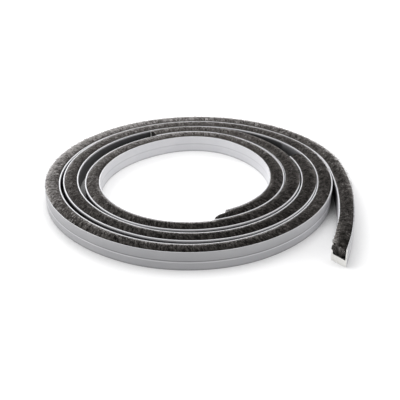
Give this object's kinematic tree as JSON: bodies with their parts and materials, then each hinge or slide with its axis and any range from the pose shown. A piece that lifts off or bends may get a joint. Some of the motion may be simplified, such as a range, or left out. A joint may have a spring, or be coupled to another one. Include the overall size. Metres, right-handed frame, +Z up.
{
  "type": "door brush seal",
  "caption": "Door brush seal coiled for storage: two nested lengths of pale grey plastic U-channel carrier with a dark brush pile standing proud.",
  "frame": {"origin": "on the surface below the coil, at the middle of its plan", "axes": "+Z up, the way the brush points; +Y is the coil's longer side, away from the free end; +X towards the side that the free end lies on"},
  "size_m": [0.2102, 0.2176, 0.0137],
  "materials": {
    "carrier": "satin extruded plastic, pale cool grey",
    "pile": "dense fine charcoal fibres, matt",
    "backing": "woven strip, matt"
  },
  "bodies": {
    "root": {"inner_carrier": "carrier", "inner_backing": "backing", "inner_pile": "pile", "outer_carrier": "carrier", "outer_backing": "backing", "outer_pile": "pile"}
  },
  "joints": []
}
